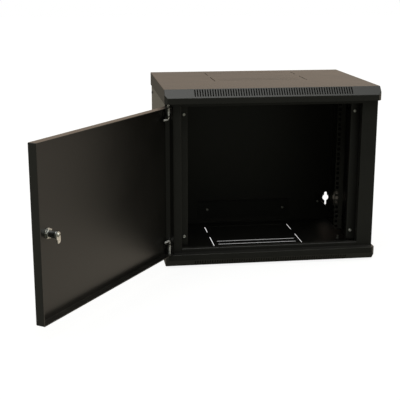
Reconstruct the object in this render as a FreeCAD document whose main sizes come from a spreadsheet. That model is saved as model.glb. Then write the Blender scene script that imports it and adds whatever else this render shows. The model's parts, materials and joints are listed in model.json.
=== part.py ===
import FreeCAD, Part
import Sketcher
import math
import os

# Wall mount network cabinet, 9U, 600 mm wide, 450 mm deep.
#
# Row frame, millimetres: +X to the right seen from the front, +Y towards the
# wall, +Z up.  The origin is the middle of the underside of the bottom cover.
# The covers' front plane is Y = -225 and their rear plane, which meets the
# wall, is Y = +225.
#
# The door stands open at the rest pose.  Its pieces are drawn in the door's
# own frame: x from the hinge axis to the free edge, y from the outer face to
# the inner face, z up, and get the door's placement.

V = FreeCAD.Vector
doc = FreeCAD.newDocument("WallMountCabinet")

# ----------------------------------------------------------------- dimensions
SHEET = [
    ("cabWidth", 600, "width over the covers"),
    ("cabDepth", 450, "depth over the covers"),
    ("cabHeight", 497, "height over the covers"),
    ("skin", 1.2, "sheet of covers, panels and door"),
    ("frame", 1.5, "sheet of posts, cross members and bars"),
    ("railSheet", 2, "sheet of the 19 inch rails"),
    ("capDrop", 38, "height of a cover's flange"),
    ("slantDeep", 20.5, "depth of the sloping front strip"),
    ("slantDrop", 22, "height of the sloping front strip"),
    ("cornerCut", 8, "facet at a cover's front corners"),
    ("bendOut", 2, "outside bend radius of a cover"),
    ("bendIn", 0.8, "inside bend radius of a cover"),
    ("ledgeDeep", 24, "depth of the ledge behind a cover's lip"),
    ("ventWidth", 3.2, "vent slot width"),
    ("ventPitch", 7, "vent slot pitch"),
    ("ventCount", 63, "vent slots in a row"),
    ("ventTop", 1.7, "top of a vent slot below the cover's face"),
    ("ventLow", 18.5, "bottom of a vent slot below the cover's face"),
    ("slitX", 135.5, "knock-out slits from the middle"),
    ("slitWide", 2.6, "knock-out slit width"),
    ("crossWide", 5.6, "width of the bottom knock-out's front cross slits"),
    ("panelHalf", 297.3, "half width over the side panels"),
    ("panelLip", 14, "return along the top and bottom of a side panel"),
    ("postFace", 43.1, "width of a post's face"),
    ("postSide", 46, "depth of a post's outer return"),
    ("postIn", 20, "depth of a post's inner return"),
    ("postLip", 13, "width of a post's rear lip"),
    ("sillTop", 48.6, "top of the bottom cross member"),
    ("sillBack", 16, "depth of the cross member's upper return"),
    ("backReturn", 13.2, "depth of the back panel's edge returns"),
    ("keyX", 278.5, "wall keyholes from the middle"),
    ("keyLowZ", 73.5, "lower wall keyholes above the underside"),
    ("keyR", 10, "keyhole radius"),
    ("keySlotR", 4.5, "half width of the keyhole's upper slot"),
    ("keySlotTop", 19, "end of the upper slot above the keyhole"),
    ("keyTailR", 2.8, "half width of the keyhole's lower slot"),
    ("keyTailLow", 25, "end of the lower slot below the keyhole"),
    ("entryHalf", 115, "half width of the cable entry"),
    ("entryLow", 25, "bottom of the cable entry"),
    ("entryTop", 65, "top of the cable entry"),
    ("plateHalf", 152, "half width of the blanking plate"),
    ("plateLow", 15, "bottom of the blanking plate"),
    ("plateTop", 75, "top of the blanking plate"),
    ("plateScrewR", 132, "right screw of the blanking plate from the middle"),
    ("plateScrewL", 120, "left screw of the blanking plate from the middle"),
    ("plateScrewZ", 45, "height of the blanking plate screws"),
    ("barZ", 74, "height of the lower side bars"),
    ("barHalf", 14, "half height of a side bar"),
    ("barX", 258.4, "inner face of a side bar from the middle"),
    ("barFront", 62, "front of a side bar behind the covers' front"),
    ("barSlotR", 3.3, "half width of the slots in a side bar"),
    ("tieWide", 6, "width of a side bar's tie strip"),
    ("tieFront", 330, "start of the tie strip behind the covers' front"),
    ("tieBack", 430, "end of the tie strip behind the covers' front"),
    ("railIn", 225.5, "inner edge of a 19 inch rail"),
    ("railEdge", 252, "outer edge of a 19 inch rail's face"),
    ("railOut", 258, "outer face of a 19 inch rail's foot"),
    ("railHoleX", 232.56, "column of square holes from the middle"),
    ("railHole", 9.5, "square hole"),
    ("rackUnit", 44.45, "rack unit"),
    ("rackUnits", 9, "rack units"),
    ("stripIn", 231.6, "inner edge of a frame strip"),
    ("stripY", 58, "frame strips behind the covers' front"),
    ("railY", 165, "rails behind the covers' front"),
    ("railStep", 24, "step in a rail's side behind its face"),
    ("railWeb", 44, "depth of a rail"),
    ("railScrew", 34, "rail screw behind the rail's face"),
    ("railAhead", 73, "rail travel towards the front"),
    ("railBehind", 82, "rail travel towards the wall"),
    ("cornerX", 242.5, "frame strip screws from the middle"),
    ("footLong", 40, "length of a bracket"),
    ("footHalf", 12, "half height of a bracket"),
    ("footScrew", 28, "bracket screw behind the strip's face"),
    ("hingeX", -289.5, "hinge axis"),
    ("hingeY", 9.8, "hinge axis behind the covers' front"),
    ("doorAngle", 125.1, "opening angle of the door at rest"),
    ("doorLow", 39.4, "bottom of the door"),
    ("doorTop", 453.2, "top of the door"),
    ("doorLong", 589, "hinge axis to the free edge"),
    ("doorHinge", 6.5, "hinge axis to the hinge edge"),
    ("doorHalf", 11.4, "half thickness of the door"),
    ("doorSlope", 5, "slope of the hinge edge measured along the door"),
    ("doorLip", 2.4, "hemmed rim at the free edge"),
    ("doorLipTop", 2.4, "hemmed rim at the top and bottom"),
    ("pinR", 3, "hinge pin radius"),
    ("pinFit", 0.08, "hinge pin clearance"),
    ("pinOut", 4.8, "hinge pin beyond a ledge's face"),
    ("upTailZ", 418.5, "tail of the upper hinge pin"),
    ("tailLong", 24.5, "reach of a hinge pin's tail"),
    ("tailBend", 7, "bend radius of a hinge pin"),
    ("tabGap", 0.4, "hinge bracket's tab to the pin's bend"),
    ("springLong", 18, "hinge spring as fitted"),
    ("lockX", 533.2, "hinge axis to the lock"),
    ("lockZ", 239, "height of the lock"),
    ("barrelR", 9, "lock barrel radius"),
    ("plugR", 6, "lock plug radius"),
    ("plugFit", 0.06, "lock plug clearance"),
    ("barrelEnd", 16, "inner end of the lock barrel"),
    ("camThick", 2.5, "lock cam thickness"),
    ("camReach", 20, "lock axis to the cam's tip"),
    ("camHalf", 7.5, "half width of the cam"),
]
dims = doc.addObject("Spreadsheet::Sheet", "dims")
dims.Label = "dims"
VALUE = {}
for i, (alias, value, note) in enumerate(SHEET):
    row = i + 1
    dims.set("A%d" % row, note)
    dims.set("B%d" % row, str(value))
    dims.setAlias("B%d" % row, alias)
    VALUE[alias] = float(value)
doc.recompute()


class Q:
    """A length with the spreadsheet expression it comes from."""

    def __init__(self, value, text=None):
        self.v = float(value)
        self.e = text if text is not None else repr(round(float(value), 6))

    @staticmethod
    def of(x):
        return x if isinstance(x, Q) else Q(x)

    def __add__(self, o):
        o = Q.of(o)
        return Q(self.v + o.v, "(%s + %s)" % (self.e, o.e))

    def __radd__(self, o):
        return Q.of(o) + self

    def __sub__(self, o):
        o = Q.of(o)
        return Q(self.v - o.v, "(%s - %s)" % (self.e, o.e))

    def __rsub__(self, o):
        return Q.of(o) - self

    def __mul__(self, o):
        o = Q.of(o)
        return Q(self.v * o.v, "(%s * %s)" % (self.e, o.e))

    def __rmul__(self, o):
        return Q.of(o) * self

    def __truediv__(self, o):
        o = Q.of(o)
        return Q(self.v / o.v, "(%s / %s)" % (self.e, o.e))

    def __neg__(self):
        return Q(-self.v, "(0 - %s)" % self.e)


def dim(name):
    return Q(VALUE[name], "dims." + name)


def hyp(a, b):
    return Q(math.hypot(a.v, b.v), "sqrt(%s * %s + %s * %s)" % (a.e, a.e, b.e, b.e))


W, D, H = dim("cabWidth"), dim("cabDepth"), dim("cabHeight")
T, F = dim("skin"), dim("frame")
FRONT, BACK = D / -2, D / 2
NODES = []          # (label, object) for every exported sub-part


def depth(y):
    """A distance behind the covers' front plane as a Y coordinate."""
    return FRONT + y


# ------------------------------------------------------------------- helpers
def bind(obj, prop, q):
    obj.setExpression(prop, Q.of(q).e)


def put(obj, x=0, y=0, z=0, axis=None, angle=None):
    x, y, z = Q.of(x), Q.of(y), Q.of(z)
    rot = FreeCAD.Rotation(axis, Q.of(angle).v) if axis else FreeCAD.Rotation()
    obj.Placement = FreeCAD.Placement(V(x.v, y.v, z.v), rot)
    for key, q in (("x", x), ("y", y), ("z", z)):
        bind(obj, "Placement.Base." + key, q)
    if axis and isinstance(angle, Q):
        bind(obj, "Placement.Rotation.Angle", angle)


def new_body(name):
    body = doc.addObject("PartDesign::Body", name)
    body.Label = name
    return body


def node(label, obj):
    obj.Label = label
    NODES.append((label, obj))
    return obj


def sketch(body, role, offset=0):
    """A sketch on one of the body's own planes, moved along its normal."""
    sk = body.newObject("Sketcher::SketchObject", body.Name + "_sketch")
    for feature in body.Origin.OriginFeatures:
        if feature.Role == role:
            sk.AttachmentSupport = [(feature, "")]
    sk.MapMode = "FlatFace"
    q = Q.of(offset)
    sk.AttachmentOffset = FreeCAD.Placement(V(0, 0, q.v), FreeCAD.Rotation())
    bind(sk, "AttachmentOffset.Base.z", q)
    return sk


def pin_point(sk, geo, pos, x, y):
    x, y = Q.of(x), Q.of(y)
    for kind, q in (("DistanceX", x), ("DistanceY", y)):
        i = sk.addConstraint(Sketcher.Constraint(kind, -1, 1, geo, pos, q.v))
        sk.setExpression("Constraints[%d]" % i, q.e)


def polygon(sk, points):
    pts = [(Q.of(a), Q.of(b)) for a, b in points]
    n = len(pts)
    first = len(sk.Geometry)
    for i in range(n):
        a, b = pts[i], pts[(i + 1) % n]
        sk.addGeometry(Part.LineSegment(V(a[0].v, a[1].v, 0), V(b[0].v, b[1].v, 0)), False)
    for i in range(n):
        sk.addConstraint(Sketcher.Constraint("Coincident", first + i, 2, first + (i + 1) % n, 1))
    for i in range(n):
        pin_point(sk, first + i, 1, pts[i][0], pts[i][1])


def rect(sk, x0, y0, x1, y1):
    polygon(sk, [(x0, y0), (x1, y0), (x1, y1), (x0, y1)])


def circle(sk, x, y, r):
    x, y, r = Q.of(x), Q.of(y), Q.of(r)
    g = sk.addGeometry(Part.Circle(V(x.v, y.v, 0), V(0, 0, 1), r.v), False)
    i = sk.addConstraint(Sketcher.Constraint("Radius", g, r.v))
    sk.setExpression("Constraints[%d]" % i, r.e)
    pin_point(sk, g, 3, x, y)


def slot(sk, x0, x1, y, r, upright=False):
    """A straight slot with round ends; x0 and x1 are the centres of the ends."""
    x0, x1, y, r = Q.of(x0), Q.of(x1), Q.of(y), Q.of(r)
    first = len(sk.Geometry)

    def p(a, b):
        return (b, a) if upright else (a, b)

    corners = [p(x0, y - r), p(x1, y - r), p(x1, y + r), p(x0, y + r)]
    if upright:
        corners = [corners[1], corners[0], corners[3], corners[2]]
    c = [V(a.v, b.v, 0) for a, b in corners]
    mids = []
    for a, b in ((c[1], c[2]), (c[3], c[0])):
        m = (a + b) * 0.5
        other = (c[0] + c[1] + c[2] + c[3]) * 0.25
        out = (m - other).normalize() * r.v
        mids.append(m + out)
    sk.addGeometry(Part.LineSegment(c[0], c[1]), False)
    sk.addGeometry(Part.Arc(c[1], mids[0], c[2]), False)
    sk.addGeometry(Part.LineSegment(c[2], c[3]), False)
    sk.addGeometry(Part.Arc(c[3], mids[1], c[0]), False)
    ends = []
    for g, (start, end) in ((1, (c[1], c[2])), (3, (c[3], c[0]))):
        arc = sk.Geometry[first + g]
        s = 1 if (arc.StartPoint - start).Length < 1e-6 else 2
        ends.append((s, 3 - s))
    sk.addConstraint(Sketcher.Constraint("Coincident", first, 2, first + 1, ends[0][0]))
    sk.addConstraint(Sketcher.Constraint("Coincident", first + 1, ends[0][1], first + 2, 1))
    sk.addConstraint(Sketcher.Constraint("Coincident", first + 2, 2, first + 3, ends[1][0]))
    sk.addConstraint(Sketcher.Constraint("Coincident", first + 3, ends[1][1], first, 1))
    pin_point(sk, first, 1, *corners[0])
    pin_point(sk, first, 2, *corners[1])
    pin_point(sk, first + 2, 1, *corners[2])
    pin_point(sk, first + 2, 2, *corners[3])
    kind = "DistanceY" if upright else "DistanceX"
    for g, q in ((1, corners[1][1] if upright else x1), (3, corners[0][1] if upright else x0)):
        i = sk.addConstraint(Sketcher.Constraint(kind, -1, 1, first + g, 3, q.v))
        sk.setExpression("Constraints[%d]" % i, q.e)


def volume(body):
    return 0.0 if body.Tip is None or body.Shape.isNull() else body.Shape.Volume


def pad(body, sk, length, symmetric=False, reverse=False):
    before = volume(body)
    f = body.newObject("PartDesign::Pad", body.Name + "_pad")
    f.Profile = sk
    f.Length = Q.of(length).v
    bind(f, "Length", length)
    if symmetric:
        f.SideType = "Symmetric"
    f.Reversed = reverse
    sk.Visibility = False
    doc.recompute()
    if not f.Shape.Volume > before + 1e-6:
        raise RuntimeError("pad adds nothing: " + f.Name)
    return f


def pocket(body, sk, length, symmetric=False, reverse=False):
    before = volume(body)
    f = body.newObject("PartDesign::Pocket", body.Name + "_pocket")
    f.Profile = sk
    f.Length = Q.of(length).v
    bind(f, "Length", length)
    if symmetric:
        f.SideType = "Symmetric"
    f.Reversed = reverse
    sk.Visibility = False
    doc.recompute()
    if not f.Shape.Volume < before - 1e-6:
        raise RuntimeError("pocket cuts nothing: " + f.Name)
    return f


def pattern(body, feature, role, length, count):
    """Repeat one feature along a plane's normal axis."""
    before = volume(body)
    f = body.newObject("PartDesign::LinearPattern", body.Name + "_pattern")
    f.Originals = [feature]
    for o in body.Origin.OriginFeatures:
        if o.Role == role:
            f.Direction = (o, [""])
    f.Length = Q.of(length).v
    f.Occurrences = int(round(Q.of(count).v))
    bind(f, "Length", length)
    bind(f, "Occurrences", count)
    body.Tip = f
    doc.recompute()
    if abs(volume(body) - before) < 1e-6:
        raise RuntimeError("pattern changes nothing: " + f.Name)
    return f


def fillet(body, radius, pick):
    base = body.Tip
    names = ["Edge%d" % (i + 1) for i, e in enumerate(base.Shape.Edges) if pick(e)]
    if not names:
        raise RuntimeError("no edge to round on " + body.Name)
    f = body.newObject("PartDesign::Fillet", body.Name + "_fillet")
    f.Base = (base, names)
    f.Radius = Q.of(radius).v
    bind(f, "Radius", radius)
    doc.recompute()
    if f.Shape.isNull() or "Invalid" in f.State:
        raise RuntimeError("fillet failed on " + body.Name)
    return f


def chamfer(body, size, pick):
    base = body.Tip
    names = ["Edge%d" % (i + 1) for i, e in enumerate(base.Shape.Edges) if pick(e)]
    if not names:
        raise RuntimeError("no edge to chamfer on " + body.Name)
    f = body.newObject("PartDesign::Chamfer", body.Name + "_chamfer")
    f.Base = (base, names)
    f.Size = Q.of(size).v
    bind(f, "Size", size)
    doc.recompute()
    if f.Shape.isNull() or "Invalid" in f.State:
        raise RuntimeError("chamfer failed on " + body.Name)
    return f


def near(a, b, tol=0.02):
    return abs(a - b) < tol


def along(edge, axis):
    if len(edge.Vertexes) < 2:
        return False
    d = edge.Vertexes[1].Point - edge.Vertexes[0].Point
    return d.Length > 1e-6 and abs(abs(d.normalize().dot(axis)) - 1) < 1e-6


X, Y, Z = V(1, 0, 0), V(0, 1, 0), V(0, 0, 1)


# -------------------------------------------------------- fasteners, prototypes
def revolve(body, sk):
    f = body.newObject("PartDesign::Revolution", body.Name + "_turn")
    f.Profile = sk
    f.ReferenceAxis = (sk, ["V_Axis"])
    f.Angle = 360
    sk.Visibility = False
    doc.recompute()
    if f.Shape.isNull() or f.Shape.Volume <= 0:
        raise RuntimeError("turning failed on " + body.Name)
    return f


def pan_screw(name, thread_r, head_r, head_h, long):
    """Pan head screw, cross recess; +z out of the head, origin under the head."""
    body = new_body(name)
    sk = sketch(body, "XZ_Plane")
    polygon(sk, [(0, 0 - long), (thread_r - 0.4, 0 - long), (thread_r, 0.5 - long), (thread_r, 0),
                 (head_r, 0), (head_r, 0.45 * head_h), (0.86 * head_r, 0.8 * head_h),
                 (0.6 * head_r, 0.96 * head_h), (0, head_h)])
    revolve(body, sk)
    sk = sketch(body, "XY_Plane", 0.35 * head_h)
    a, b = 0.52 * head_r, 0.12 * head_r
    polygon(sk, [(-a, -b), (-b, -b), (-b, -a), (b, -a), (b, -b), (a, -b),
                 (a, b), (b, b), (b, a), (-b, a), (-b, b), (-a, b)])
    pocket(body, sk, head_h, reverse=True)
    return body


def hex_nut(name, thread_r, flat, high):
    """Hexagon nut, z from 0 to its height."""
    body = new_body(name)
    sk = sketch(body, "XY_Plane")
    r = flat / math.sqrt(3.0)
    pts = [(r * math.cos(math.radians(60 * k)), r * math.sin(math.radians(60 * k))) for k in range(6)]
    polygon(sk, pts)
    circle(sk, 0, 0, thread_r)
    pad(body, sk, high)
    chamfer(body, 0.35, lambda e: e.Length > 0.8 * r and near(e.BoundBox.ZLength, 0)
            and len(e.Vertexes) == 2)
    return body


screw_m5 = pan_screw("proto_screw_m5", 2.45, 4.75, 3.2, 9.0)
screw_m4 = pan_screw("proto_screw_m4", 1.95, 4.0, 2.2, 3.3)
screw_panel = pan_screw("proto_screw_panel", 2.45, 4.75, 2.2, 2.6)
nut_m5 = hex_nut("proto_nut_m5", 2.5, 8.0, 4.0)
HEADS = {"-Y": FreeCAD.Rotation(Z, V(0, -1, 0)), "+Y": FreeCAD.Rotation(Z, V(0, 1, 0)),
         "-X": FreeCAD.Rotation(Z, V(-1, 0, 0)), "+X": FreeCAD.Rotation(Z, V(1, 0, 0)),
         "+Z": FreeCAD.Rotation(), "-Z": FreeCAD.Rotation(Z, V(0, 0, -1))}


def group(label, proto, places):
    """One node holding the same fastener several times, as separate solids."""
    links = []
    for i, (x, y, z, way) in enumerate(places):
        link = doc.addObject("App::Link", "%s_%d" % (label, i + 1))
        link.LinkedObject = proto
        x, y, z = Q.of(x), Q.of(y), Q.of(z)
        link.Placement = FreeCAD.Placement(V(x.v, y.v, z.v), HEADS[way])
        for key, q in (("x", x), ("y", y), ("z", z)):
            bind(link, "Placement.Base." + key, q)
        links.append(link)
    out = doc.addObject("Part::Compound", label)
    out.Links = links
    doc.recompute()
    return node(label, out)


# -------------------------------------------------------------------- covers
def cover_block(name, inset, radius):
    """Closed block with the cover's outline, every wall set in by inset."""
    body = new_body(name)
    sd, sr = dim("slantDeep"), dim("slantDrop")
    run = hyp(sd, sr)
    sk = sketch(body, "YZ_Plane")
    polygon(sk, [(BACK - inset, -inset),
                 (FRONT + sd + inset * (run - sd) / sr, -inset),
                 (FRONT + inset, -sr - inset * (run - sr) / sd),
                 (FRONT + inset, -dim("capDrop")),
                 (BACK - inset, -dim("capDrop"))])
    pad(body, sk, W - 2 * inset, symmetric=True)
    cut = dim("cornerCut") - inset * (2 - math.sqrt(2.0))
    sk = sketch(body, "XY_Plane")
    for s in (1, -1):
        x, y = s * (W / 2 - inset), FRONT + inset
        polygon(sk, [(x, y), (x - s * cut, y), (x, y + cut)])
    pocket(body, sk, dim("capDrop"))
    low = -VALUE["capDrop"] + 0.1
    fillet(body, radius, lambda e: e.BoundBox.ZMax > low)
    return body


def cover(name, cross):
    """Pressed cover with a sloping, slotted front strip; outer face at z = 0."""
    body = cover_block(name, Q(0), dim("bendOut"))
    void = cover_block(name + "_void", T, dim("bendIn"))
    before = volume(body)
    cut = body.newObject("PartDesign::Boolean", name + "_hollow")
    cut.setObjects([void])
    cut.Type = "Cut"
    doc.recompute()
    if not cut.Shape.Volume < 0.2 * before:
        raise RuntimeError("cover is not hollow")
    drop, half, inset = dim("capDrop"), W / 2 - T / 2, T / 2
    cc = dim("cornerCut")
    sk = sketch(body, "XY_Plane", -drop)
    polygon(sk, [(-half, depth(dim("ledgeDeep"))), (half, depth(dim("ledgeDeep"))),
                 (half, FRONT + cc), (W / 2 - cc, FRONT + inset),
                 (cc - W / 2, FRONT + inset), (-half, FRONT + cc)])
    pad(body, sk, T)
    sk = sketch(body, "XY_Plane", -drop - 1)
    for s in (1, -1):
        circle(sk, s * dim("hingeX"), depth(dim("hingeY")), dim("pinR") + dim("pinFit"))
    pocket(body, sk, T + 2, reverse=True)
    # One vent slot at the left end, cut level through the sloping strip only.
    sk = sketch(body, "XZ_Plane", -(FRONT + dim("slantDeep") / 2))
    x0 = -dim("ventPitch") * (dim("ventCount") - 1) / 2
    rect(sk, x0 - dim("ventWidth") / 2, -dim("ventLow"), x0 + dim("ventWidth") / 2, -dim("ventTop"))
    one = pocket(body, sk, dim("slantDeep") + 3, symmetric=True)
    pattern(body, one, "YZ_Plane", dim("ventPitch") * (dim("ventCount") - 1), dim("ventCount"))
    # Knock-out outline: side slits with a bridge, and cross slits.
    sk = sketch(body, "XY_Plane", 0.5)
    sw = dim("slitWide") / 2
    for s in (1, -1):
        slot(sk, depth(190.3), depth(284.7), s * dim("slitX"), sw, upright=True)
        slot(sk, depth(336.3), depth(396.7), s * dim("slitX"), sw, upright=True)
    slot(sk, -119, 119, depth(396.7), sw)
    for y in (207, 237):
        slot(sk, -119, 119, depth(y), cross)
    pocket(body, sk, T + 1)
    return body


top = cover("top_cover", dim("slitWide") / 2)
put(top, 0, 0, H)
node("top_cover", top)
bottom = cover("bottom_cover", dim("crossWide") / 2)
put(bottom, 0, 0, 0, Y, Q(180))
node("bottom_cover", bottom)

# -------------------------------------------------------------- side panels
PH = dim("panelHalf")
PANEL_SCREW_Y = (45, 425)             # behind the covers' front
for side, s in (("left", -1), ("right", 1)):
    body = new_body(side + "_side_panel")
    sk = sketch(body, "XZ_Plane", -depth(dim("ledgeDeep")))
    out, inn, lip = s * PH, s * (PH - T), s * (PH - dim("panelLip"))
    polygon(sk, [(lip, T), (out, T), (out, H - T), (lip, H - T),
                 (lip, H - 2 * T), (inn, H - 2 * T), (inn, 2 * T), (lip, 2 * T)])
    # The plane's normal points to the front, so the pad runs the other way.
    pad(body, sk, BACK - T - 1 - depth(dim("ledgeDeep")), reverse=True)
    fillet(body, 1.1, lambda e: along(e, Y) and near(abs(e.BoundBox.XMin), VALUE["panelHalf"]))
    sk = sketch(body, "YZ_Plane", s * (PH - T / 2))
    for y in PANEL_SCREW_Y:
        for z in (60, H - 60):
            circle(sk, depth(y), z, 2.5)
    pocket(body, sk, 3 * T, symmetric=True)
    node(side + "_side_panel", body)

# ---------------------------------------------------------------- back panel
body = new_body("back_panel")
BH = PH - T
wall_y = BACK - T                     # outer face of the back panel
sk = sketch(body, "XZ_Plane", -wall_y)
rect(sk, -BH, 2 * T, BH, H - 2 * T)
pad(body, sk, dim("backReturn"))
sk = sketch(body, "XZ_Plane", -(wall_y - dim("backReturn")))
rect(sk, T - BH, 3 * T, BH - T, H - 3 * T)
pocket(body, sk, dim("backReturn") - T)
fillet(body, 0.9, lambda e: near(e.BoundBox.YMin, VALUE["cabDepth"] / 2 - VALUE["skin"])
       and near(e.BoundBox.YLength, 0))
KX, KZ, KR = dim("keyX"), dim("keyLowZ"), dim("keyR")
keys = [(s * KX, z) for z in (KZ, KZ + 350) for s in (-1, 1)]


def wall_cut(draw):
    sk = sketch(body, "XZ_Plane", -(wall_y - T / 2))
    draw(sk)
    pocket(body, sk, 3 * T, symmetric=True)


wall_cut(lambda sk: [circle(sk, x, z, KR) for x, z in keys])
wall_cut(lambda sk: [slot(sk, z, z + dim("keySlotTop") - dim("keySlotR"), x, dim("keySlotR"), upright=True)
                     for x, z in keys])
wall_cut(lambda sk: [slot(sk, z - dim("keyTailLow") + dim("keyTailR"), z, x, dim("keyTailR"), upright=True)
                     for x, z in keys])
wall_cut(lambda sk: rect(sk, -dim("entryHalf"), dim("entryLow"), dim("entryHalf"), dim("entryTop")))
plate_screws = [-dim("plateScrewL"), dim("plateScrewR")]
wall_cut(lambda sk: [circle(sk, x, dim("plateScrewZ"), 1.95) for x in plate_screws])
BX = dim("cornerX") + 8.5             # rear fixing screws of the side bars
bar_screws = [(s * BX, z) for z in (dim("barZ") - 13, H - dim("barZ") + 13) for s in (-1, 1)]
wall_cut(lambda sk: [circle(sk, x, z, 1.95) for x, z in bar_screws])
node("back_panel", body)

# --------------------------------------------------- cable entry blanking plate
body = new_body("back_entry_cover")
sk = sketch(body, "YZ_Plane")
y1 = wall_y - T
polygon(sk, [(y1, dim("plateLow")), (y1, dim("plateTop")), (y1 - 9, dim("plateTop")),
             (y1 - 9, dim("plateTop") - T), (y1 - T, dim("plateTop") - T), (y1 - T, dim("plateLow"))])
pad(body, sk, 2 * dim("plateHalf"), symmetric=True)
fillet(body, 1.6, lambda e: along(e, X) and near(e.BoundBox.ZMin, VALUE["plateTop"])
       and near(e.BoundBox.YMin, VALUE["cabDepth"] / 2 - 2 * VALUE["skin"]))
sk = sketch(body, "XZ_Plane", -(y1 - T / 2))
for x in plate_screws:
    circle(sk, x, dim("plateScrewZ"), 1.95)
pocket(body, sk, 3 * T, symmetric=True)
node("back_entry_cover", body)
group("back_entry_screws", screw_m4,
      [(x, y1 - T, dim("plateScrewZ"), "-Y") for x in plate_screws])

# --------------------------------------------------------------- front posts
L0 = depth(dim("ledgeDeep"))
for side, s in (("left", -1), ("right", 1)):
    body = new_body(side + "_front_post")
    sk = sketch(body, "XY_Plane", 2 * T)
    xo = BH
    xi = BH - dim("postFace")
    lip = dim("postLip")
    polygon(sk, [(s * xi, L0), (s * xo, L0), (s * xo, L0 + dim("postSide")),
                 (s * (xo - F), L0 + dim("postSide")), (s * (xo - F), L0 + F), (s * (xi + F), L0 + F),
                 (s * (xi + F), L0 + dim("postIn") - F), (s * (xi + lip), L0 + dim("postIn") - F),
                 (s * (xi + lip), L0 + dim("postIn")), (s * xi, L0 + dim("postIn"))])
    pad(body, sk, H - 4 * T)
    y0 = L0.v
    fillet(body, 2, lambda e: along(e, Z) and near(e.BoundBox.YMin, y0)
           and near(abs(e.BoundBox.XMin), xi.v))
    fillet(body, 1, lambda e: along(e, Z) and near(e.BoundBox.YMin, y0)
           and near(abs(e.BoundBox.XMin), xo.v))
    fillet(body, 0.6, lambda e: along(e, Z) and near(e.BoundBox.YMin, y0 + F.v))
    # Slot that the lock's cam turns into.
    sk = sketch(body, "YZ_Plane", s * (xi - 2))
    rect(sk, L0 + F, dim("lockZ") - 27, L0 + F + 8, dim("lockZ") + 27)
    pocket(body, sk, F + 3, reverse=(s > 0))
    sk = sketch(body, "YZ_Plane", s * (xo - F / 2))
    for z in (60, H - 60):
        circle(sk, depth(PANEL_SCREW_Y[0]), z, 2.5)
    pocket(body, sk, 3 * F, symmetric=True)
    node(side + "_front_post", body)

# -------------------------------------------------------------- cross members
PI = BH - dim("postFace")
for name, flip in (("bottom_cross_member", False), ("top_cross_member", True)):
    body = new_body(name)
    sk = sketch(body, "YZ_Plane")
    ST = dim("sillTop")
    pts = [(L0, T), (L0, ST), (L0 + dim("sillBack"), ST), (L0 + dim("sillBack"), ST - F),
           (L0 + F, ST - F), (L0 + F, T + F), (L0 + 14, T + F), (L0 + 14, T)]
    if flip:
        pts = [(y, H - z) for y, z in pts]
    polygon(sk, pts)
    pad(body, sk, 2 * PI, symmetric=True)
    fillet(body, 2, lambda e: along(e, X) and near(e.BoundBox.YMin, L0.v)
           and near(e.BoundBox.ZMin, VALUE["cabHeight"] - ST.v if flip else ST.v))
    node(name, body)

# ------------------------------------------------------------------ side bars
FY, RY = dim("stripY"), dim("railY")
BR = dim("barSlotR")
for level in ("lower", "upper"):
    up = 1 if level == "upper" else -1
    zc = dim("barZ") if level == "lower" else H - dim("barZ")
    for side, s in (("left", -1), ("right", 1)):
        name = "side_bar_%s_%s" % (level, side)
        body = new_body(name)
        sk = sketch(body, "XY_Plane", zc - dim("barHalf"))
        a, b = dim("barX"), dim("barX") + F
        y0, y1 = depth(dim("barFront")), wall_y - T
        tab = dim("cornerX") - 2
        polygon(sk, [(s * (BH - F), y0), (s * (BH - F), y0 + F), (s * b, y0 + F), (s * b, y1),
                     (s * tab, y1), (s * tab, y1 - F), (s * a, y1 - F), (s * a, y0)])
        pad(body, sk, 2 * dim("barHalf"))
        fillet(body, 1.8, lambda e: along(e, Z) and near(abs(e.BoundBox.XMin), b.v)
               and near(e.BoundBox.YMin, y1.v))
        # Rear tab reaches past the bar to its fixing screw.
        if up > 0:
            sk = sketch(body, "XY_Plane", zc + dim("barHalf") - 1)
        else:
            sk = sketch(body, "XY_Plane", zc - dim("barHalf") - 10)
        rect(sk, s * tab, y1 - F, s * (b - 2), y1)
        pad(body, sk, 11)
        sk = sketch(body, "XZ_Plane", -(y1 - F / 2))
        circle(sk, s * BX, zc + up * 13, 1.95)
        pocket(body, sk, 3 * F, symmetric=True)
        sk = sketch(body, "YZ_Plane", s * (a + F / 2))
        screw_y = RY + dim("railScrew")
        slot(sk, depth(screw_y - dim("railAhead") - 2), depth(screw_y + dim("railBehind") + 2), zc, BR)
        circle(sk, depth(FY + dim("footScrew")), zc, 2.5)
        pocket(body, sk, 3 * F, symmetric=True)
        # Behind the rails' travel the bar narrows to a tie strip.
        sk = sketch(body, "YZ_Plane", s * (a + F / 2))
        half, tie = dim("barHalf"), dim("tieWide")
        low, high = (zc - half - 1, zc + half - tie) if up > 0 else (zc - half + tie, zc + half + 1)
        rect(sk, depth(dim("tieFront")), low, depth(dim("tieBack")), high)
        pocket(body, sk, 3 * F, symmetric=True)
        node(name, body)
group("back_panel_screws", screw_m4, [(x, wall_y - T - F, z, "-Y") for x, z in bar_screws])

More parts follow.
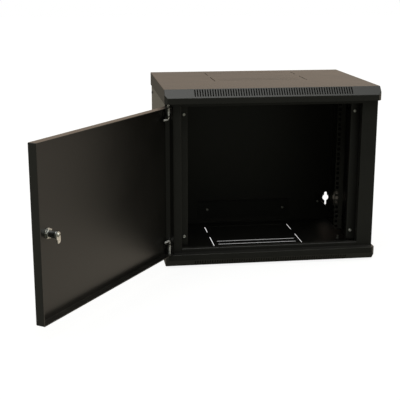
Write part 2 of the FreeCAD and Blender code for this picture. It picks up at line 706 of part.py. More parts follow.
# ------------------------------------------------- frame strips, 19 inch rails
# Plain strips stand behind the posts and are screwed to the side bars by
# brackets; the rails with the square holes slide along the bars behind them.
RS = dim("railSheet")
for side, s in (("left", -1), ("right", 1)):
    name = side + "_frame_strip"
    ri, ro = dim("stripIn"), dim("barX")
    y0 = depth(FY)
    body = new_body(name)
    sk = sketch(body, "XZ_Plane", -(y0 + RS))
    rect(sk, s * ri, dim("sillTop") - 0.6, s * ro, H - dim("sillTop") + 0.6)
    pad(body, sk, RS)
    zc = dim("barZ") + 24
    for inner_x, outer_x, low, high in ((ro - RS, ro, zc, H - zc),
                                        (ri, ri + RS, dim("sillTop") - 0.6, H - dim("sillTop") + 0.6)):
        sk = sketch(body, "XZ_Plane", -(y0 + 12))
        rect(sk, s * inner_x, low, s * outer_x, high)
        pad(body, sk, 12)
    fillet(body, 1.6, lambda e: along(e, Z) and near(e.BoundBox.YMin, y0.v) and e.Length > 200)
    sk = sketch(body, "XZ_Plane", -(y0 + RS / 2))
    for z in (dim("barZ"), H - dim("barZ")):
        circle(sk, s * dim("cornerX"), z, 2.5)
    pocket(body, sk, 3 * RS, symmetric=True)
    node(name, body)

    feet = []
    for k, z in enumerate((dim("barZ"), H - dim("barZ"))):
        foot = new_body("%s_bracket_%d" % (name, k + 1))
        sk = sketch(foot, "XY_Plane", z - dim("footHalf"))
        fy = y0 + RS
        polygon(sk, [(s * (ro - 23), fy), (s * ro, fy), (s * ro, fy + dim("footLong")),
                     (s * (ro - F), fy + dim("footLong")), (s * (ro - F), fy + F), (s * (ro - 23), fy + F)])
        pad(foot, sk, 2 * dim("footHalf"))
        fillet(foot, 1.8, lambda e: along(e, Z) and near(abs(e.BoundBox.XMin), ro.v)
               and near(e.BoundBox.YMin, fy.v))
        sk = sketch(foot, "XZ_Plane", -(fy + F / 2))
        circle(sk, s * dim("cornerX"), z, 2.5)
        pocket(foot, sk, 3 * F, symmetric=True)
        sk = sketch(foot, "YZ_Plane", s * (ro - F / 2))
        circle(sk, y0 + dim("footScrew"), z, 2.5)
        pocket(foot, sk, 3 * F, symmetric=True)
        feet.append(foot)
    both = doc.addObject("Part::Compound", name + "_brackets")
    both.Links = feet
    doc.recompute()
    node(name + "_brackets", both)
    inner, outer = ("-X", "+X") if s > 0 else ("+X", "-X")
    places = []
    nuts = []
    for z in (dim("barZ"), H - dim("barZ")):
        places.append((s * dim("cornerX"), y0, z, "-Y"))
        places.append((s * (ro - F), y0 + dim("footScrew"), z, inner))
        nuts.append((s * dim("cornerX"), y0 + RS + F, z, "+Y"))
        nuts.append((s * (ro + F), y0 + dim("footScrew"), z, outer))
    group(name + "_screws", screw_m5, places)
    group(name + "_nuts", nut_m5, nuts)

    name = side + "_rail"
    ri, re, ro, step = dim("railIn"), dim("railEdge"), dim("railOut"), dim("railStep")
    y0 = depth(RY)
    body = new_body(name)
    sk = sketch(body, "XY_Plane", dim("sillTop") - 0.6)
    polygon(sk, [(s * ri, y0), (s * re, y0), (s * re, y0 + step - RS), (s * ro, y0 + step - RS),
                 (s * ro, y0 + dim("railWeb")), (s * (ro - RS), y0 + dim("railWeb")), (s * (ro - RS), y0 + step),
                 (s * (re - RS), y0 + step), (s * (re - RS), y0 + RS), (s * ri, y0 + RS)])
    pad(body, sk, H - 2 * dim("sillTop") + 1.2)
    fillet(body, 2.6, lambda e: along(e, Z) and ((near(e.BoundBox.YMin, y0.v) and near(abs(e.BoundBox.XMin), re.v))
           or (near(e.BoundBox.YMin, y0.v + step.v - RS.v) and near(abs(e.BoundBox.XMin), ro.v))))
    fillet(body, 0.6, lambda e: along(e, Z) and near(e.BoundBox.YMin, y0.v + RS.v)
           and near(abs(e.BoundBox.XMin), re.v - RS.v))
    # Three square holes in each rack unit.
    sk = sketch(body, "XZ_Plane", -(y0 + RS / 2))
    hx, hh, ru = s * dim("railHoleX"), dim("railHole") / 2, dim("rackUnit")
    base = H / 2 - ru * dim("rackUnits") / 2
    for up in (6.35, 22.225, 38.1):
        rect(sk, hx - hh, base + up - hh, hx + hh, base + up + hh)
    one = pocket(body, sk, 3 * RS, symmetric=True)
    pattern(body, one, "XY_Plane", ru * (dim("rackUnits") - 1), dim("rackUnits"))
    sk = sketch(body, "YZ_Plane", s * (ro - RS / 2))
    for z in (dim("barZ"), H - dim("barZ")):
        circle(sk, y0 + dim("railScrew"), z, 2.5)
    pocket(body, sk, 3 * RS, symmetric=True)
    node(name, body)
    group(name + "_screws", screw_m5,
          [(s * (ro - RS), y0 + dim("railScrew"), z, inner) for z in (dim("barZ"), H - dim("barZ"))])
    group(name + "_nuts", nut_m5,
          [(s * (dim("barX") + F + 0.4), y0 + dim("railScrew"), z, outer)
           for z in (dim("barZ"), H - dim("barZ"))])

# ---------------------------------------------------- side panel screws, earth
group("side_panel_screws", screw_panel,
      [(s * PH, depth(y), z, "+X" if s > 0 else "-X")
       for s in (-1, 1) for y in PANEL_SCREW_Y for z in (60, H - 60)])
body = new_body("earth_stud")
sk = sketch(body, "XZ_Plane", -depth(207))
polygon(sk, [(0, 0), (2.9, 0), (2.9, 13.4), (2.3, 14), (0, 14)])
revolve(body, sk)
put(body, 252, depth(207), T)
node("earth_stud", body)
sk.AttachmentOffset = FreeCAD.Placement()
sk.setExpression("AttachmentOffset.Base.z", None)
earth_nut = hex_nut("proto_nut_m6", 2.95, 10.0, 4.6)
group("earth_stud_nut", earth_nut, [(252, depth(207), T, "+Z")])

# ---------------------------------------------------------------------- door
HX, HY = dim("hingeX"), depth(dim("hingeY"))


def on_door(label, obj):
    put(obj, HX, HY, 0, Z, -dim("doorAngle"))
    return node(label, obj)


DL, DH, DT = dim("doorLong"), dim("doorHinge"), dim("doorHalf")
zlo, zhi = dim("doorLow"), dim("doorTop")
slope = dim("doorSlope")
run = hyp(slope, DT)
body = new_body("door_panel")
sk = sketch(body, "XY_Plane", zlo)
polygon(sk, [(slope - DH, -DT), (DL, -DT), (DL, DT), (-DH, DT), (-DH, 0)])
pad(body, sk, zhi - zlo)
fillet(body, 1.8, lambda e: near(e.BoundBox.YMax, -DT.v) or (along(e, Z) and near(e.BoundBox.YMin, 0))
       or (e.BoundBox.YMax < 0.1 and e.BoundBox.ZLength < 0.1) or (along(e, Y) and near(e.BoundBox.XMin, DL.v)))
# Inside of the tray, the wall the same thickness all round.
sk = sketch(body, "XY_Plane", zlo + T)
shift = T * (run - slope) / DT        # sloping wall measured along the skin
drop = T * (run - DT) / slope         # sloping wall measured along the edge
ysk, yin = T - DT, DT - T
polygon(sk, [(slope - DH + shift, ysk), (DL - T, ysk), (DL - T, yin), (T - DH, yin), (T - DH, drop)])
pocket(body, sk, zhi - zlo - 2 * T, reverse=True)
# Mouth of the tray; what is left round it is the hem of its rim.
sk = sketch(body, "XZ_Plane", -(DT - T / 2))
rect(sk, T - DH, zlo + dim("doorLipTop"), DL - dim("doorLip"), zhi - dim("doorLipTop"))
pocket(body, sk, 2 * T, symmetric=True)
# The hinge ends of the top and bottom hems are cut back to clear the pins.
sk = sketch(body, "XZ_Plane", -(DT - T / 2))
rect(sk, T - DH, zlo + T, 16, zlo + dim("doorLipTop") + 1)
rect(sk, T - DH, zhi - dim("doorLipTop") - 1, 16, zhi - T)
pocket(body, sk, 2 * T, symmetric=True)
PR = dim("pinR") + dim("pinFit")
sk = sketch(body, "XY_Plane", zlo - 1)
circle(sk, 0, 0, PR)
pocket(body, sk, T + 2, reverse=True)
sk = sketch(body, "XY_Plane", zhi + 1)
circle(sk, 0, 0, PR)
pocket(body, sk, T + 2)
LX, LZ = dim("lockX"), dim("lockZ")
sk = sketch(body, "XZ_Plane", DT + 1)
circle(sk, LX, LZ, dim("barrelR") + 0.2)
pocket(body, sk, T + 2)
on_door("door_panel", body)

# L-shaped hinge pin, bent from rod: tail along x at z = 0, leg up the z axis.
pin_rod = new_body("proto_hinge_pin")
end = H - dim("capDrop") + dim("pinOut") - dim("upTailZ")
bend = dim("tailBend")
prof = sketch(pin_rod, "XY_Plane", end)
circle(prof, 0, 0, dim("pinR"))
spine = sketch(pin_rod, "XZ_Plane")
k = math.sqrt(0.5)
mid = V(bend.v * (1 - k), bend.v * (1 - k), 0)
spine.addGeometry(Part.LineSegment(V(0, end.v, 0), V(0, bend.v, 0)), False)
spine.addGeometry(Part.Arc(V(0, bend.v, 0), mid, V(bend.v, 0, 0)), False)
spine.addGeometry(Part.LineSegment(V(bend.v, 0, 0), V(VALUE["tailLong"], 0, 0)), False)
arc = spine.Geometry[1]
first = 1 if (arc.StartPoint - V(0, bend.v, 0)).Length < 1e-6 else 2
spine.addConstraint(Sketcher.Constraint("Coincident", 0, 2, 1, first))
spine.addConstraint(Sketcher.Constraint("Coincident", 1, 3 - first, 2, 1))
pin_point(spine, 0, 1, 0, end)
pin_point(spine, 0, 2, 0, bend)
pin_point(spine, 2, 1, bend, 0)
pin_point(spine, 2, 2, dim("tailLong"), 0)
i = spine.addConstraint(Sketcher.Constraint("Radius", 1, bend.v))
spine.setExpression("Constraints[%d]" % i, bend.e)
doc.recompute()
pipe = pin_rod.newObject("PartDesign::AdditivePipe", "pin_rod_pipe")
pipe.Profile = prof
pipe.Spine = (spine, ["Edge1", "Edge2", "Edge3"])
doc.recompute()
long = math.pi * VALUE["pinR"] ** 2 * (end.v - bend.v + math.pi / 2 * bend.v + VALUE["tailLong"] - bend.v)
if abs(pin_rod.Shape.Volume / long - 1) > 0.01:
    raise RuntimeError("hinge pin has the wrong volume")
chamfer(pin_rod, 0.8, lambda e: near(e.BoundBox.ZLength, 0) and near(e.BoundBox.ZMin, end.v))
fillet(pin_rod, 1.2, lambda e: near(e.BoundBox.XLength, 0) and near(e.BoundBox.XMin, VALUE["tailLong"])
       and e.BoundBox.ZLength > 3)

# Hinge brackets: a foot on the skin and a tab that the pin slides in.
SL = dim("springLong")
bend_off = dim("tailBend") + dim("tabGap") + F
for level, way, tab in (("upper", -1, dim("upTailZ") + bend_off),
                        ("lower", 1, H - dim("upTailZ") - bend_off)):
    # tab is the face on the spring's side; the pin's bend stops on the other.
    body = new_body(level + "_hinge_bracket")
    ys = T - DT
    a, b = tab, tab + way * F
    sk = sketch(body, "XY_Plane", a if way > 0 else b)
    polygon(sk, [(-0.3, ys), (14.8, ys), (14.8, 6.5), (-4.9, 6.5), (-4.9, 0.3)])
    pad(body, sk, F)
    sk = sketch(body, "XY_Plane", a - 12 if way > 0 else a)
    rect(sk, -0.3, ys, 14.8, ys + F)
    pad(body, sk, 12)
    sk = sketch(body, "XY_Plane", (a + b) / 2)
    circle(sk, 0, 0, PR)
    pocket(body, sk, 3 * F, symmetric=True)
    on_door(level + "_hinge_bracket", body)

    # Both pins are the same piece, the lower one turned over.
    link = doc.addObject("App::Link", level + "_hinge_pin_link")
    link.LinkedObject = pin_rod
    turn = FreeCAD.Rotation() if level == "upper" else FreeCAD.Rotation(X, 180)
    tail = dim("upTailZ") if level == "upper" else H - dim("upTailZ")
    link.Placement = FreeCAD.Placement(V(0, 0, tail.v), turn)
    bind(link, "Placement.Base.z", tail)
    one = doc.addObject("Part::Compound", level + "_hinge_pin")
    one.Links = [link]
    doc.recompute()
    on_door(level + "_hinge_pin", one)

    # Retaining clip near the door's edge, and the spring between clip and tab.
    clip_z = tab - way * SL               # clip face on the spring's side
    body = new_body(level + "_hinge_clip")
    sk = sketch(body, "XY_Plane", clip_z - Q(0.5 * way) - 0.5)
    circle(sk, 0, 0, 4.35)
    circle(sk, 0, 0, dim("pinR"))
    pad(body, sk, 1)
    sk = sketch(body, "XY_Plane", clip_z - Q(0.5 * way) - 1.5)
    polygon(sk, [(0.2, -1.1), (6, -1.6), (6, 1.6), (0.2, 1.1)])
    pocket(body, sk, 3, reverse=True)
    on_door(level + "_hinge_clip", body)

    gap = 0.45                            # half a wire, so the end coils touch
    lo = (clip_z if way > 0 else tab) + gap
    high = SL - 2 * gap
    helix = doc.addObject("Part::Helix", level + "_spring_line")
    helix.Radius = 3.85
    bind(helix, "Radius", dim("pinR") + 0.85)
    helix.Pitch = high.v / 5.0
    bind(helix, "Pitch", high / 5)
    helix.Height = high.v
    bind(helix, "Height", high)
    wire = doc.addObject("Part::Circle", level + "_spring_wire")
    wire.Radius = 0.4
    wire.Placement = FreeCAD.Placement(V(3.85, 0, 0), FreeCAD.Rotation(X, 90))
    bind(wire, "Placement.Base.x", dim("pinR") + 0.85)
    spring = doc.addObject("Part::Sweep", level + "_hinge_spring")
    spring.Sections = [wire]
    spring.Spine = (helix, ["Edge1"])
    spring.Solid = True
    spring.Frenet = True
    doc.recompute()
    # The sweep is made at the origin and stands at its height on the door.
    put(spring, HX, HY, lo, Z, -dim("doorAngle"))
    node(level + "_hinge_spring", spring)

# ---------------------------------------------------------------------- lock
BRR, PLR = dim("barrelR"), dim("plugR")
BE = dim("barrelEnd")


def turned(name, pts, hole=None):
    """A turned piece about the lock's axis; profile as (radius, depth)."""
    body = new_body(name)
    sk = sketch(body, "XY_Plane", LZ)
    polygon(sk, [(LX + r, y) for r, y in pts])
    f = body.newObject("PartDesign::Revolution", name + "_turn")
    f.Profile = sk
    line = sketch(body, "XY_Plane", LZ)
    line.addGeometry(Part.LineSegment(V(LX.v, -30, 0), V(LX.v, 30, 0)), False)
    pin_point(line, 0, 1, LX, -30)
    pin_point(line, 0, 2, LX, 30)
    f.ReferenceAxis = (line, ["Edge1"])
    f.Angle = 360
    sk.Visibility = False
    doc.recompute()
    return body


cap0 = -DT - 3
body = turned("lock_barrel", [(PLR + dim("plugFit"), cap0 + 0.6), (PLR + 1.2, cap0), (10.6, cap0), (12, cap0 + 1.2),
                              (12, -DT), (BRR, -DT), (BRR, BE - 0.8), (BRR - 0.8, BE), (PLR + dim("plugFit"), BE)])
# Flats along the barrel, so that it can't turn in its hole.
sk = sketch(body, "XZ_Plane", DT)
for s in (1, -1):
    rect(sk, LX - 12, LZ + s * (BRR - 1.2), LX + 12, LZ + s * (BRR + 3))
pocket(body, sk, DT + BE + 1)
on_door("lock_barrel", body)

body = new_body("lock_washer")
sk = sketch(body, "XZ_Plane", DT - T)
circle(sk, LX, LZ, 12.5)
circle(sk, LX, LZ, BRR + 0.1)
pad(body, sk, 1, reverse=True)
on_door("lock_washer", body)

body = new_body("lock_nut")
sk = sketch(body, "XZ_Plane", DT - T - 1)
r = 22.0 / math.sqrt(3.0)
polygon(sk, [(LX + r * math.cos(math.radians(60 * k + 12)), LZ + r * math.sin(math.radians(60 * k + 12))) for k in range(6)])
circle(sk, LX, LZ, BRR)
pad(body, sk, 4.5, reverse=True)
chamfer(body, 0.7, lambda e: len(e.Vertexes) == 2 and e.Length > 10 and near(e.BoundBox.YLength, 0))
on_door("lock_nut", body)

body = turned("lock_plug", [(0, cap0 + 0.7), (PLR - 0.3, cap0 + 0.7), (PLR, cap0 + 1.0), (PLR, BE + 0.5), (0, BE + 0.5)])
# Key slot.
sk = sketch(body, "XZ_Plane", -cap0 + 1)
rect(sk, LX - 0.7, LZ - 3.6, LX + 0.7, LZ + 3.6)
pocket(body, sk, 7)
on_door("lock_plug", body)

body = new_body("lock_cam")
sk = sketch(body, "XZ_Plane", -(BE + 0.5))
CH, CR = dim("camHalf"), dim("camReach")
slot(sk, LZ - CR + CH, LZ, LX, CH, upright=True)
pad(body, sk, dim("camThick"), reverse=True)
# Stepped tip.
sk = sketch(body, "XZ_Plane", -(BE + 0.5 + dim("camThick") / 2))
rect(sk, LX + CH - 3, LZ - CR - 1, LX + CH + 1, LZ - CR + 9)
pocket(body, sk, 2 * dim("camThick"), symmetric=True)
sk = sketch(body, "XZ_Plane", -(BE + 0.5 + dim("camThick") / 2))
circle(sk, LX, LZ, 2.5)
pocket(body, sk, 2 * dim("camThick"), symmetric=True)
fillet(body, 0.5, lambda e: near(e.BoundBox.YMin, BE.v + 0.5 + VALUE["camThick"]) and near(e.BoundBox.YLength, 0)
       and len(e.Vertexes) == 2)
on_door("lock_cam", body)

body = pan_screw("proto_cam_screw", 2.4, 4.6, 2.8, 2.4)
holder = doc.addObject("App::Link", "lock_cam_screw_link")
holder.LinkedObject = body
holder.Placement = FreeCAD.Placement(V(LX.v, (BE + 0.5).v + VALUE["camThick"], LZ.v), HEADS["+Y"])
for key, q in (("x", LX), ("y", BE + 0.5 + dim("camThick")), ("z", LZ)):
    bind(holder, "Placement.Base." + key, q)
one = doc.addObject("Part::Compound", "lock_cam_screw_node")
one.Links = [holder]
doc.recompute()
on_door("lock_cam_screw", one)

# --------------------------------------------------------------- check, write
doc.recompute()
bad = []
for obj in doc.Objects:
    if any(word in obj.State for word in ("Invalid", "Error")):
        bad.append("%s %s" % (obj.Name, obj.State))
for label, obj in NODES:
    shape = obj.Shape
    if shape.isNull() or not shape.isValid() or not shape.Solids:
        bad.append("%s has no valid shape" % label)
labels = [label for label, _ in NODES]
if len(set(labels)) != len(labels):
    bad.append("two sub-parts share a label")
if bad:
    raise RuntimeError("; ".join(bad))

os.makedirs("parts", exist_ok=True)
for label, obj in NODES:
    obj.Shape.exportStep(os.path.join("parts", label + ".step"))
    box = obj.Shape.BoundBox
    print("%-28s solids %d  vol %10.1f  x %7.1f %7.1f  y %7.1f %7.1f  z %7.1f %7.1f" % (
        label, len(obj.Shape.Solids), obj.Shape.Volume,
        box.XMin, box.XMax, box.YMin, box.YMax, box.ZMin, box.ZMax))
print("nodes", len(NODES))
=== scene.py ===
import json
import math
import bpy
import bmesh
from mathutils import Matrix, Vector


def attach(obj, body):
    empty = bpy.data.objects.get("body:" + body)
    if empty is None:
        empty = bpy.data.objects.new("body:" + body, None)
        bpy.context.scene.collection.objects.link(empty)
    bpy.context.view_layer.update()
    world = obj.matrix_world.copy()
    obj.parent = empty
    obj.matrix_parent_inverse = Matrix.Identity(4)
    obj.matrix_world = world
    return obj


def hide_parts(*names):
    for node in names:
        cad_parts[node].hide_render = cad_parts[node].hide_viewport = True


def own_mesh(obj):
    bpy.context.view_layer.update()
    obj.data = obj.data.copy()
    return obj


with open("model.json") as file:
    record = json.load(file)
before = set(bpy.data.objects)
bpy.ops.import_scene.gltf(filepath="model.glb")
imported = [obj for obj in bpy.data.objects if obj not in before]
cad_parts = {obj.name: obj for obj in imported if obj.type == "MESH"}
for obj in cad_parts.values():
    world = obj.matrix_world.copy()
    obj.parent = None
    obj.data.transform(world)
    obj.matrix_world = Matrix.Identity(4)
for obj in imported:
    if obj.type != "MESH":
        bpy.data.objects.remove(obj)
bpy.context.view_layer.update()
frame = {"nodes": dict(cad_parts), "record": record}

scene = bpy.context.scene
scene.view_settings.view_transform = "Standard"
scene.view_settings.look = "None"
scene.view_settings.exposure = 0.0
scene.view_settings.gamma = 1.0


# ---------------------------------------------------------------- node helpers
class Net:
    """A small builder for one material's node tree."""

    def __init__(self, name):
        self.mat = bpy.data.materials.new(name)
        self.mat.use_nodes = True
        self.tree = self.mat.node_tree
        self.tree.nodes.clear()
        self.out = self.add("ShaderNodeOutputMaterial")

    def add(self, kind, **props):
        node = self.tree.nodes.new(kind)
        for key, value in props.items():
            setattr(node, key, value)
        return node

    def link(self, a, b):
        self.tree.links.new(a, b)

    def feed(self, socket, value):
        if hasattr(value, "links") or isinstance(value, bpy.types.NodeSocket):
            self.link(value, socket)
        else:
            socket.default_value = value

    def coords(self, offset=(0, 0, 0)):
        tc = self.add("ShaderNodeTexCoord")
        m = self.add("ShaderNodeMapping")
        m.inputs["Location"].default_value = offset
        self.link(tc.outputs["Object"], m.inputs["Vector"])
        return m.outputs["Vector"]

    def noise(self, vec, scale, detail=3.0, rough=0.5, distortion=0.0):
        n = self.add("ShaderNodeTexNoise")
        n.inputs["Scale"].default_value = scale
        n.inputs["Detail"].default_value = detail
        n.inputs["Roughness"].default_value = rough
        n.inputs["Distortion"].default_value = distortion
        self.link(vec, n.inputs["Vector"])
        return n.outputs["Fac"]

    def stretch(self, vec, scale):
        m = self.add("ShaderNodeMapping")
        m.inputs["Scale"].default_value = scale
        self.link(vec, m.inputs["Vector"])
        return m.outputs["Vector"]

    def math(self, op, a, b=0.0, c=0.0, clamp=False):
        n = self.add("ShaderNodeMath", operation=op, use_clamp=clamp)
        self.feed(n.inputs[0], a)
        self.feed(n.inputs[1], b)
        self.feed(n.inputs[2], c)
        return n.outputs[0]

    def span(self, value, lo, hi, to_lo=0.0, to_hi=1.0, smooth=False):
        n = self.add("ShaderNodeMapRange")
        n.interpolation_type = "SMOOTHSTEP" if smooth else "LINEAR"
        self.feed(n.inputs["Value"], value)
        n.inputs["From Min"].default_value = lo
        n.inputs["From Max"].default_value = hi
        n.inputs["To Min"].default_value = to_lo
        n.inputs["To Max"].default_value = to_hi
        return n.outputs["Result"]

    def mix(self, fac, a, b):
        n = self.add("ShaderNodeMix", data_type="RGBA")
        self.feed(n.inputs["Factor"], fac)
        ia = [s for s in n.inputs if s.name == "A" and s.type == "RGBA"][0]
        ib = [s for s in n.inputs if s.name == "B" and s.type == "RGBA"][0]
        self.feed(ia, a if not isinstance(a, tuple) else tuple(a) + (1.0,))
        self.feed(ib, b if not isinstance(b, tuple) else tuple(b) + (1.0,))
        return [s for s in n.outputs if s.type == "RGBA"][0]

    def bump(self, height, strength, distance, normal=None):
        n = self.add("ShaderNodeBump")
        n.inputs["Strength"].default_value = strength
        n.inputs["Distance"].default_value = distance
        self.link(height, n.inputs["Height"])
        if normal is not None:
            self.link(normal, n.inputs["Normal"])
        return n.outputs["Normal"]

    def edge(self, radius, normal_out=False):
        """1 along the rounded edges, 0 on the flats."""
        b = self.add("ShaderNodeBevel", samples=4)
        b.inputs["Radius"].default_value = radius
        g = self.add("ShaderNodeNewGeometry")
        d = self.add("ShaderNodeVectorMath", operation="DOT_PRODUCT")
        self.link(b.outputs["Normal"], d.inputs[0])
        self.link(g.outputs["Normal"], d.inputs[1])
        mask = self.span(d.outputs["Value"], 0.995, 0.86, 0.0, 1.0)
        return mask, b.outputs["Normal"]

    def principled(self, **inputs):
        p = self.add("ShaderNodeBsdfPrincipled")
        for key, value in inputs.items():
            sock = p.inputs[key.replace("_", " ")]
            if isinstance(value, tuple) and len(value) == 3 and sock.type == "RGBA":
                value = tuple(value) + (1.0,)
            self.feed(sock, value)
        self.link(p.outputs["BSDF"], self.out.inputs["Surface"])
        return p


# ------------------------------------------------------------------- materials
def powder_coat(name, base, light, rough, offset, dust=0.35, ior=1.5, grain=1.0, bend=0.0007,
                wear_and_highlight=3.2):
    """Black powder coat: fine orange peel, handled patches, thin paint at edges that can be raised into a painted
    edge highlight.
    """
    n = Net(name)
    vec = n.coords(offset)
    broad = n.noise(vec, 3.2, 2.0, 0.5, 0.4)
    patch = n.noise(vec, 17.0, 3.0, 0.5, 0.3)
    speck = n.noise(vec, 900.0, 2.0, 0.6)
    peel = n.noise(vec, 620.0, 2.0, 0.45)
    fine = n.noise(vec, 2300.0, 1.0, 0.5)
    edge, round_normal = n.edge(bend)
    tone = n.math("ADD", n.math("MULTIPLY", broad, 0.6), n.math("MULTIPLY", patch, 0.4))
    colour = n.mix(n.span(tone, 0.36, 0.64), base, light)
    # fine pigment specks of the texture paint
    colour = n.mix(n.span(speck, 0.60, 0.74, 0.0, 0.55), colour, tuple(c * 1.9 for c in light))
    # thin, polished paint on the edges, raised on some parts into a painted highlight line along the bends
    colour = n.mix(n.math("MULTIPLY", edge, n.span(patch, 0.40, 0.68, 0.10, 0.50)), colour,
                   tuple(c * wear_and_highlight for c in light))
    # a little dust on what faces up
    tc = n.add("ShaderNodeTexCoord")
    sep = n.add("ShaderNodeSeparateXYZ")
    n.link(tc.outputs["Normal"], sep.inputs[0])
    up = n.span(sep.outputs["Z"], 0.75, 1.0, 0.0, dust, smooth=True)
    lay = n.math("MULTIPLY", up, n.span(patch, 0.42, 0.66, 0.15, 1.0, smooth=True))
    colour = n.mix(lay, colour, (0.042, 0.037, 0.031))
    r = n.math("ADD", n.span(broad, 0.3, 0.7, rough - 0.015, rough + 0.015),
               n.span(patch, 0.3, 0.7, -0.006, 0.008))
    r = n.math("ADD", r, n.math("MULTIPLY", lay, 0.10))
    r = n.math("SUBTRACT", r, n.math("MULTIPLY", edge, 0.06))
    h = n.math("ADD", n.math("MULTIPLY", peel, 0.72), n.math("MULTIPLY", fine, 0.28))
    normal = n.bump(h, 0.20 * grain, 0.00020, round_normal)
    n.principled(Base_Color=colour, Roughness=r, IOR=ior, Normal=normal)
    return n.mat


def zinc(name, tint, dark, rough, offset, streak=(1.0, 1.0, 1.0), metallic=1.0):
    """Bright zinc plate: metallic with clouding, fine scratches and dull spots."""
    n = Net(name)
    vec = n.coords(offset)
    cloud = n.noise(vec, 160.0, 3.0, 0.6, 0.6)
    spots = n.noise(vec, 620.0, 3.0, 0.65)
    lines = n.noise(n.stretch(vec, streak), 1500.0, 2.0, 0.6)
    edge, round_normal = n.edge(0.00035)
    colour = n.mix(n.span(cloud, 0.35, 0.65), dark, tint)
    colour = n.mix(n.span(spots, 0.60, 0.75, 0.0, 0.5), colour, tuple(c * 0.45 for c in dark))
    colour = n.mix(n.math("MULTIPLY", edge, 0.5), colour, tuple(min(1.0, c * 1.15) for c in tint))
    r = n.math("ADD", n.span(cloud, 0.3, 0.7, rough - 0.05, rough + 0.07),
               n.span(lines, 0.3, 0.7, -0.04, 0.05))
    normal = n.bump(lines, 0.12, 0.0001, round_normal)
    n.principled(Base_Color=colour, Metallic=metallic, Roughness=r, Normal=normal)
    return n.mat


BLACK = (0.0070, 0.0069, 0.0058)
BLACK_LIGHT = (0.0108, 0.0105, 0.0088)
coat = {}


def coat_for(node):
    """Each piece has its own place in the paint's pattern, as separate pieces do."""
    k = sum(ord(c) * (i + 3) for i, c in enumerate(node)) % 97
    offset = (0.37 * k, 1.13 * (k % 11), 0.71 * (k % 7))
    shell = node in SHELL
    dust = DUST.get(node, 0.12)
    rough = ROUGH.get(node, 0.40 if shell else 0.42)
    # colour scale of the black coat: painted light on the rails and back panel, painted shade on the door
    painted_light_scale = PAINTED_LIGHT_SCALE.get(node, 1.0)
    return powder_coat("coat_" + node, tuple(c * painted_light_scale for c in BLACK), tuple(c * painted_light_scale for c in BLACK_LIGHT),
                       rough, offset, dust=dust, ior=IOR.get(node, 1.5), bend=BEND.get(node, 0.0007),
                       wear_and_highlight=PAINTED_EDGE_HIGHLIGHT.get(node, 3.2))


ROUGH = {"door_panel": 0.31, "left_side_panel": 0.22, "right_side_panel": 0.22,
         "bottom_cover": 0.47, "back_panel": 0.46, "left_rail": 0.50, "right_rail": 0.50}
# painted light: lighter copies of the black coat on the rails and back panel stand in for light that falls short
# deep inside; a darker copy on the door is painted shade towards the hinge
PAINTED_LIGHT_SCALE = {"left_rail": 2.4, "right_rail": 2.4, "back_panel": 1.6, "door_panel": 0.7}
IOR = {"bottom_cover": 1.45}
BEND = {"bottom_cover": 0.0022, "bottom_cross_member": 0.0010}
# painted highlight lines along the bends of the bottom cover and the bottom cross member
PAINTED_EDGE_HIGHLIGHT = {"bottom_cover": 9.0, "bottom_cross_member": 5.0}
DUST = {"top_cover": 0.35, "bottom_cover": 0.02}
SHELL = {"top_cover", "bottom_cover", "left_side_panel", "right_side_panel", "back_panel",
         "back_entry_cover", "door_panel"}
bright = zinc("zinc_fasteners", (0.80, 0.80, 0.77), (0.55, 0.55, 0.52), 0.30, (2, 1, 0))
rod = zinc("zinc_rod", (0.93, 0.93, 0.91), (0.76, 0.76, 0.74), 0.28, (0, 4, 1), streak=(1, 1, 0.08), metallic=0.55)
lock_metal = zinc("nickel_lock", (0.66, 0.67, 0.67), (0.44, 0.45, 0.45), 0.24, (5, 0, 2))
spring_wire = zinc("spring_wire", (0.90, 0.90, 0.88), (0.66, 0.66, 0.64), 0.33, (1, 7, 3), metallic=0.55)
dull = zinc("black_oxide", (0.060, 0.058, 0.054), (0.030, 0.029, 0.027), 0.42, (3, 3, 3))

FINISH = {}
for entry in frame["record"]["subparts"]:
    name, slot = entry["node"], entry["material_slot"]
    if slot in ("shell_paint", "frame_paint", "rail_paint"):
        FINISH[name] = coat_for(name)
    elif slot == "black_steel":
        FINISH[name] = dull
    elif slot == "lock_chrome":
        FINISH[name] = lock_metal
    elif name.endswith("hinge_pin"):
        FINISH[name] = rod
    elif name.endswith("hinge_spring"):
        FINISH[name] = spring_wire
    else:
        FINISH[name] = bright
for name, obj in frame["nodes"].items():
    mat = FINISH[name]
    if not obj.data.materials:
        obj.data.materials.append(mat)
    for i in range(len(obj.material_slots)):
        obj.material_slots[i].material = mat

# --------------------------------------------------------------- hinge springs
# Each spring is copied into a coil object of its own, fixed to the door, and the CAD spring is hidden.
bpy.context.view_layer.update()
for end, seat in (("upper", 0.4274), ("lower", 0.0696)):
    node = frame["nodes"][end + "_hinge_spring"]
    coil_mesh = node.data.copy()
    coil_mesh.name = end + "_spring_coil"
    coil = bpy.data.objects.new(end + "_spring_coil", coil_mesh)
    scene.collection.objects.link(coil)
    coil.matrix_world = node.matrix_world.copy()
    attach(coil, "door")
    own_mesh(coil)
    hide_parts(end + "_hinge_spring")

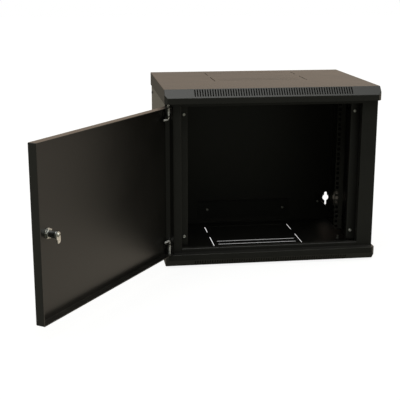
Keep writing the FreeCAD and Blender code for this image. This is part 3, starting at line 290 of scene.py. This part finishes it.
# ----------------------------------------------------------------------- stage
floor_mesh = bpy.data.meshes.new("floor")
bm = bmesh.new()
s = 14.0
for x, y in ((-s, -s), (s, -s), (s, s), (-s, s)):
    bm.verts.new((x, y, -0.0004))
bm.faces.new(bm.verts)
bm.to_mesh(floor_mesh)
bm.free()
floor = bpy.data.objects.new("floor", floor_mesh)
scene.collection.objects.link(floor)
fm = Net("floor_pale")
mixer = fm.add("ShaderNodeMixShader")
mixer.inputs["Fac"].default_value = 0.80
diff = fm.add("ShaderNodeBsdfDiffuse")
diff.inputs["Color"].default_value = (0.9, 0.9, 0.9, 1)
emit = fm.add("ShaderNodeEmission")
emit.inputs["Color"].default_value = (1, 1, 1, 1)
emit.inputs["Strength"].default_value = 1.08
fm.link(diff.outputs[0], mixer.inputs[1])
fm.link(emit.outputs[0], mixer.inputs[2])
fm.link(mixer.outputs[0], fm.out.inputs["Surface"])
floor_mesh.materials.append(fm.mat)
floor.visible_glossy = False
floor.visible_diffuse = False

# A studio: bright overhead, softer walls, white where the camera looks past.
world = bpy.data.worlds.new("studio")
scene.world = world
world.use_nodes = True
wt = world.node_tree
wt.nodes.clear()


class WNet(Net):
    def __init__(self, tree):
        self.tree = tree
        self.out = self.add("ShaderNodeOutputWorld")


w = WNet(wt)
tc = w.add("ShaderNodeTexCoord")
sep = w.add("ShaderNodeSeparateXYZ")
w.link(tc.outputs["Generated"], sep.inputs[0])
dx, dy, dz = sep.outputs["X"], sep.outputs["Y"], sep.outputs["Z"]


def lobe(value, lo, hi, colour, extra=None):
    f = w.span(value, lo, hi, 0.0, 1.0, smooth=True)
    if extra is not None:
        f = w.math("MULTIPLY", f, extra)
    v = w.add("ShaderNodeVectorMath", operation="SCALE")
    v.inputs[0].default_value = colour
    w.link(f, v.inputs["Scale"])
    return v.outputs["Vector"]


def add(a, b):
    v = w.add("ShaderNodeVectorMath", operation="ADD")
    w.link(a, v.inputs[0])
    w.link(b, v.inputs[1])
    return v.outputs["Vector"]


base = w.add("ShaderNodeCombineXYZ")
for i, c in enumerate((0.150, 0.153, 0.125)):
    base.inputs[i].default_value = c
total = base.outputs[0]
above = w.span(dz, -0.02, 0.22, 0.14, 1.0, smooth=True)
for part in (
        lobe(dz, 0.35, 0.85, (1.03, 1.07, 1.05)),
        lobe(dy, 0.10, 0.90, (0.615, 0.435, 0.325), above),
        lobe(w.math("ADD", w.math("MULTIPLY", dx, 0.94), w.math("MULTIPLY", dy, 0.34)), 0.45, 0.97,
             (0.555, 0.475, 0.390)),
        lobe(w.math("ADD", w.math("MULTIPLY", dx, -0.97), w.math("MULTIPLY", dy, -0.25)), 0.50, 1.00,
             (0.17, 0.165, 0.140))):
    total = add(total, part)
path = w.add("ShaderNodeLightPath")
bg_env = w.add("ShaderNodeBackground")
w.link(total, bg_env.inputs["Color"])
bg_env.inputs["Strength"].default_value = 1.0
bg_white = w.add("ShaderNodeBackground")
bg_white.inputs["Color"].default_value = (1, 1, 1, 1)
bg_white.inputs["Strength"].default_value = 1.0
m = w.add("ShaderNodeMixShader")
w.link(path.outputs["Is Camera Ray"], m.inputs["Fac"])
w.link(bg_env.outputs[0], m.inputs[1])
w.link(bg_white.outputs[0], m.inputs[2])
w.link(m.outputs[0], w.out.inputs["Surface"])


def area(name, pos, target, size, power, colour):
    light = bpy.data.lights.new(name, "AREA")
    light.shape = "RECTANGLE"
    light.size, light.size_y = size
    light.energy = power
    light.color = colour
    obj = bpy.data.objects.new(name, light)
    obj.location = pos
    obj.rotation_euler = (Vector(target) - Vector(pos)).to_track_quat("-Z", "Y").to_euler()
    obj.visible_camera = False
    scene.collection.objects.link(obj)
    return obj


area("soft_top", (-0.4, -1.0, 2.6), (0.0, 0.0, 0.2), (2.2, 1.6), 22.0, (1.0, 0.985, 0.96))

# ---------------------------------------------------------------------- camera
cam = bpy.data.cameras.new("camera")
cam.sensor_width = 36.0
cam.sensor_fit = "HORIZONTAL"
cam.lens = 890.845 / 400.0 * 36.0
cam.clip_start = 0.05
cam.clip_end = 60.0
cam_obj = bpy.data.objects.new("camera", cam)
yaw, pitch = 0.13703, 0.25088
look = Vector((math.sin(yaw) * math.cos(pitch), math.cos(yaw) * math.cos(pitch), -math.sin(pitch)))
cam_obj.location = (-0.52908, -2.57310, 0.80194)
cam_obj.rotation_euler = look.to_track_quat("-Z", "Y").to_euler()
scene.collection.objects.link(cam_obj)
scene.camera = cam_obj
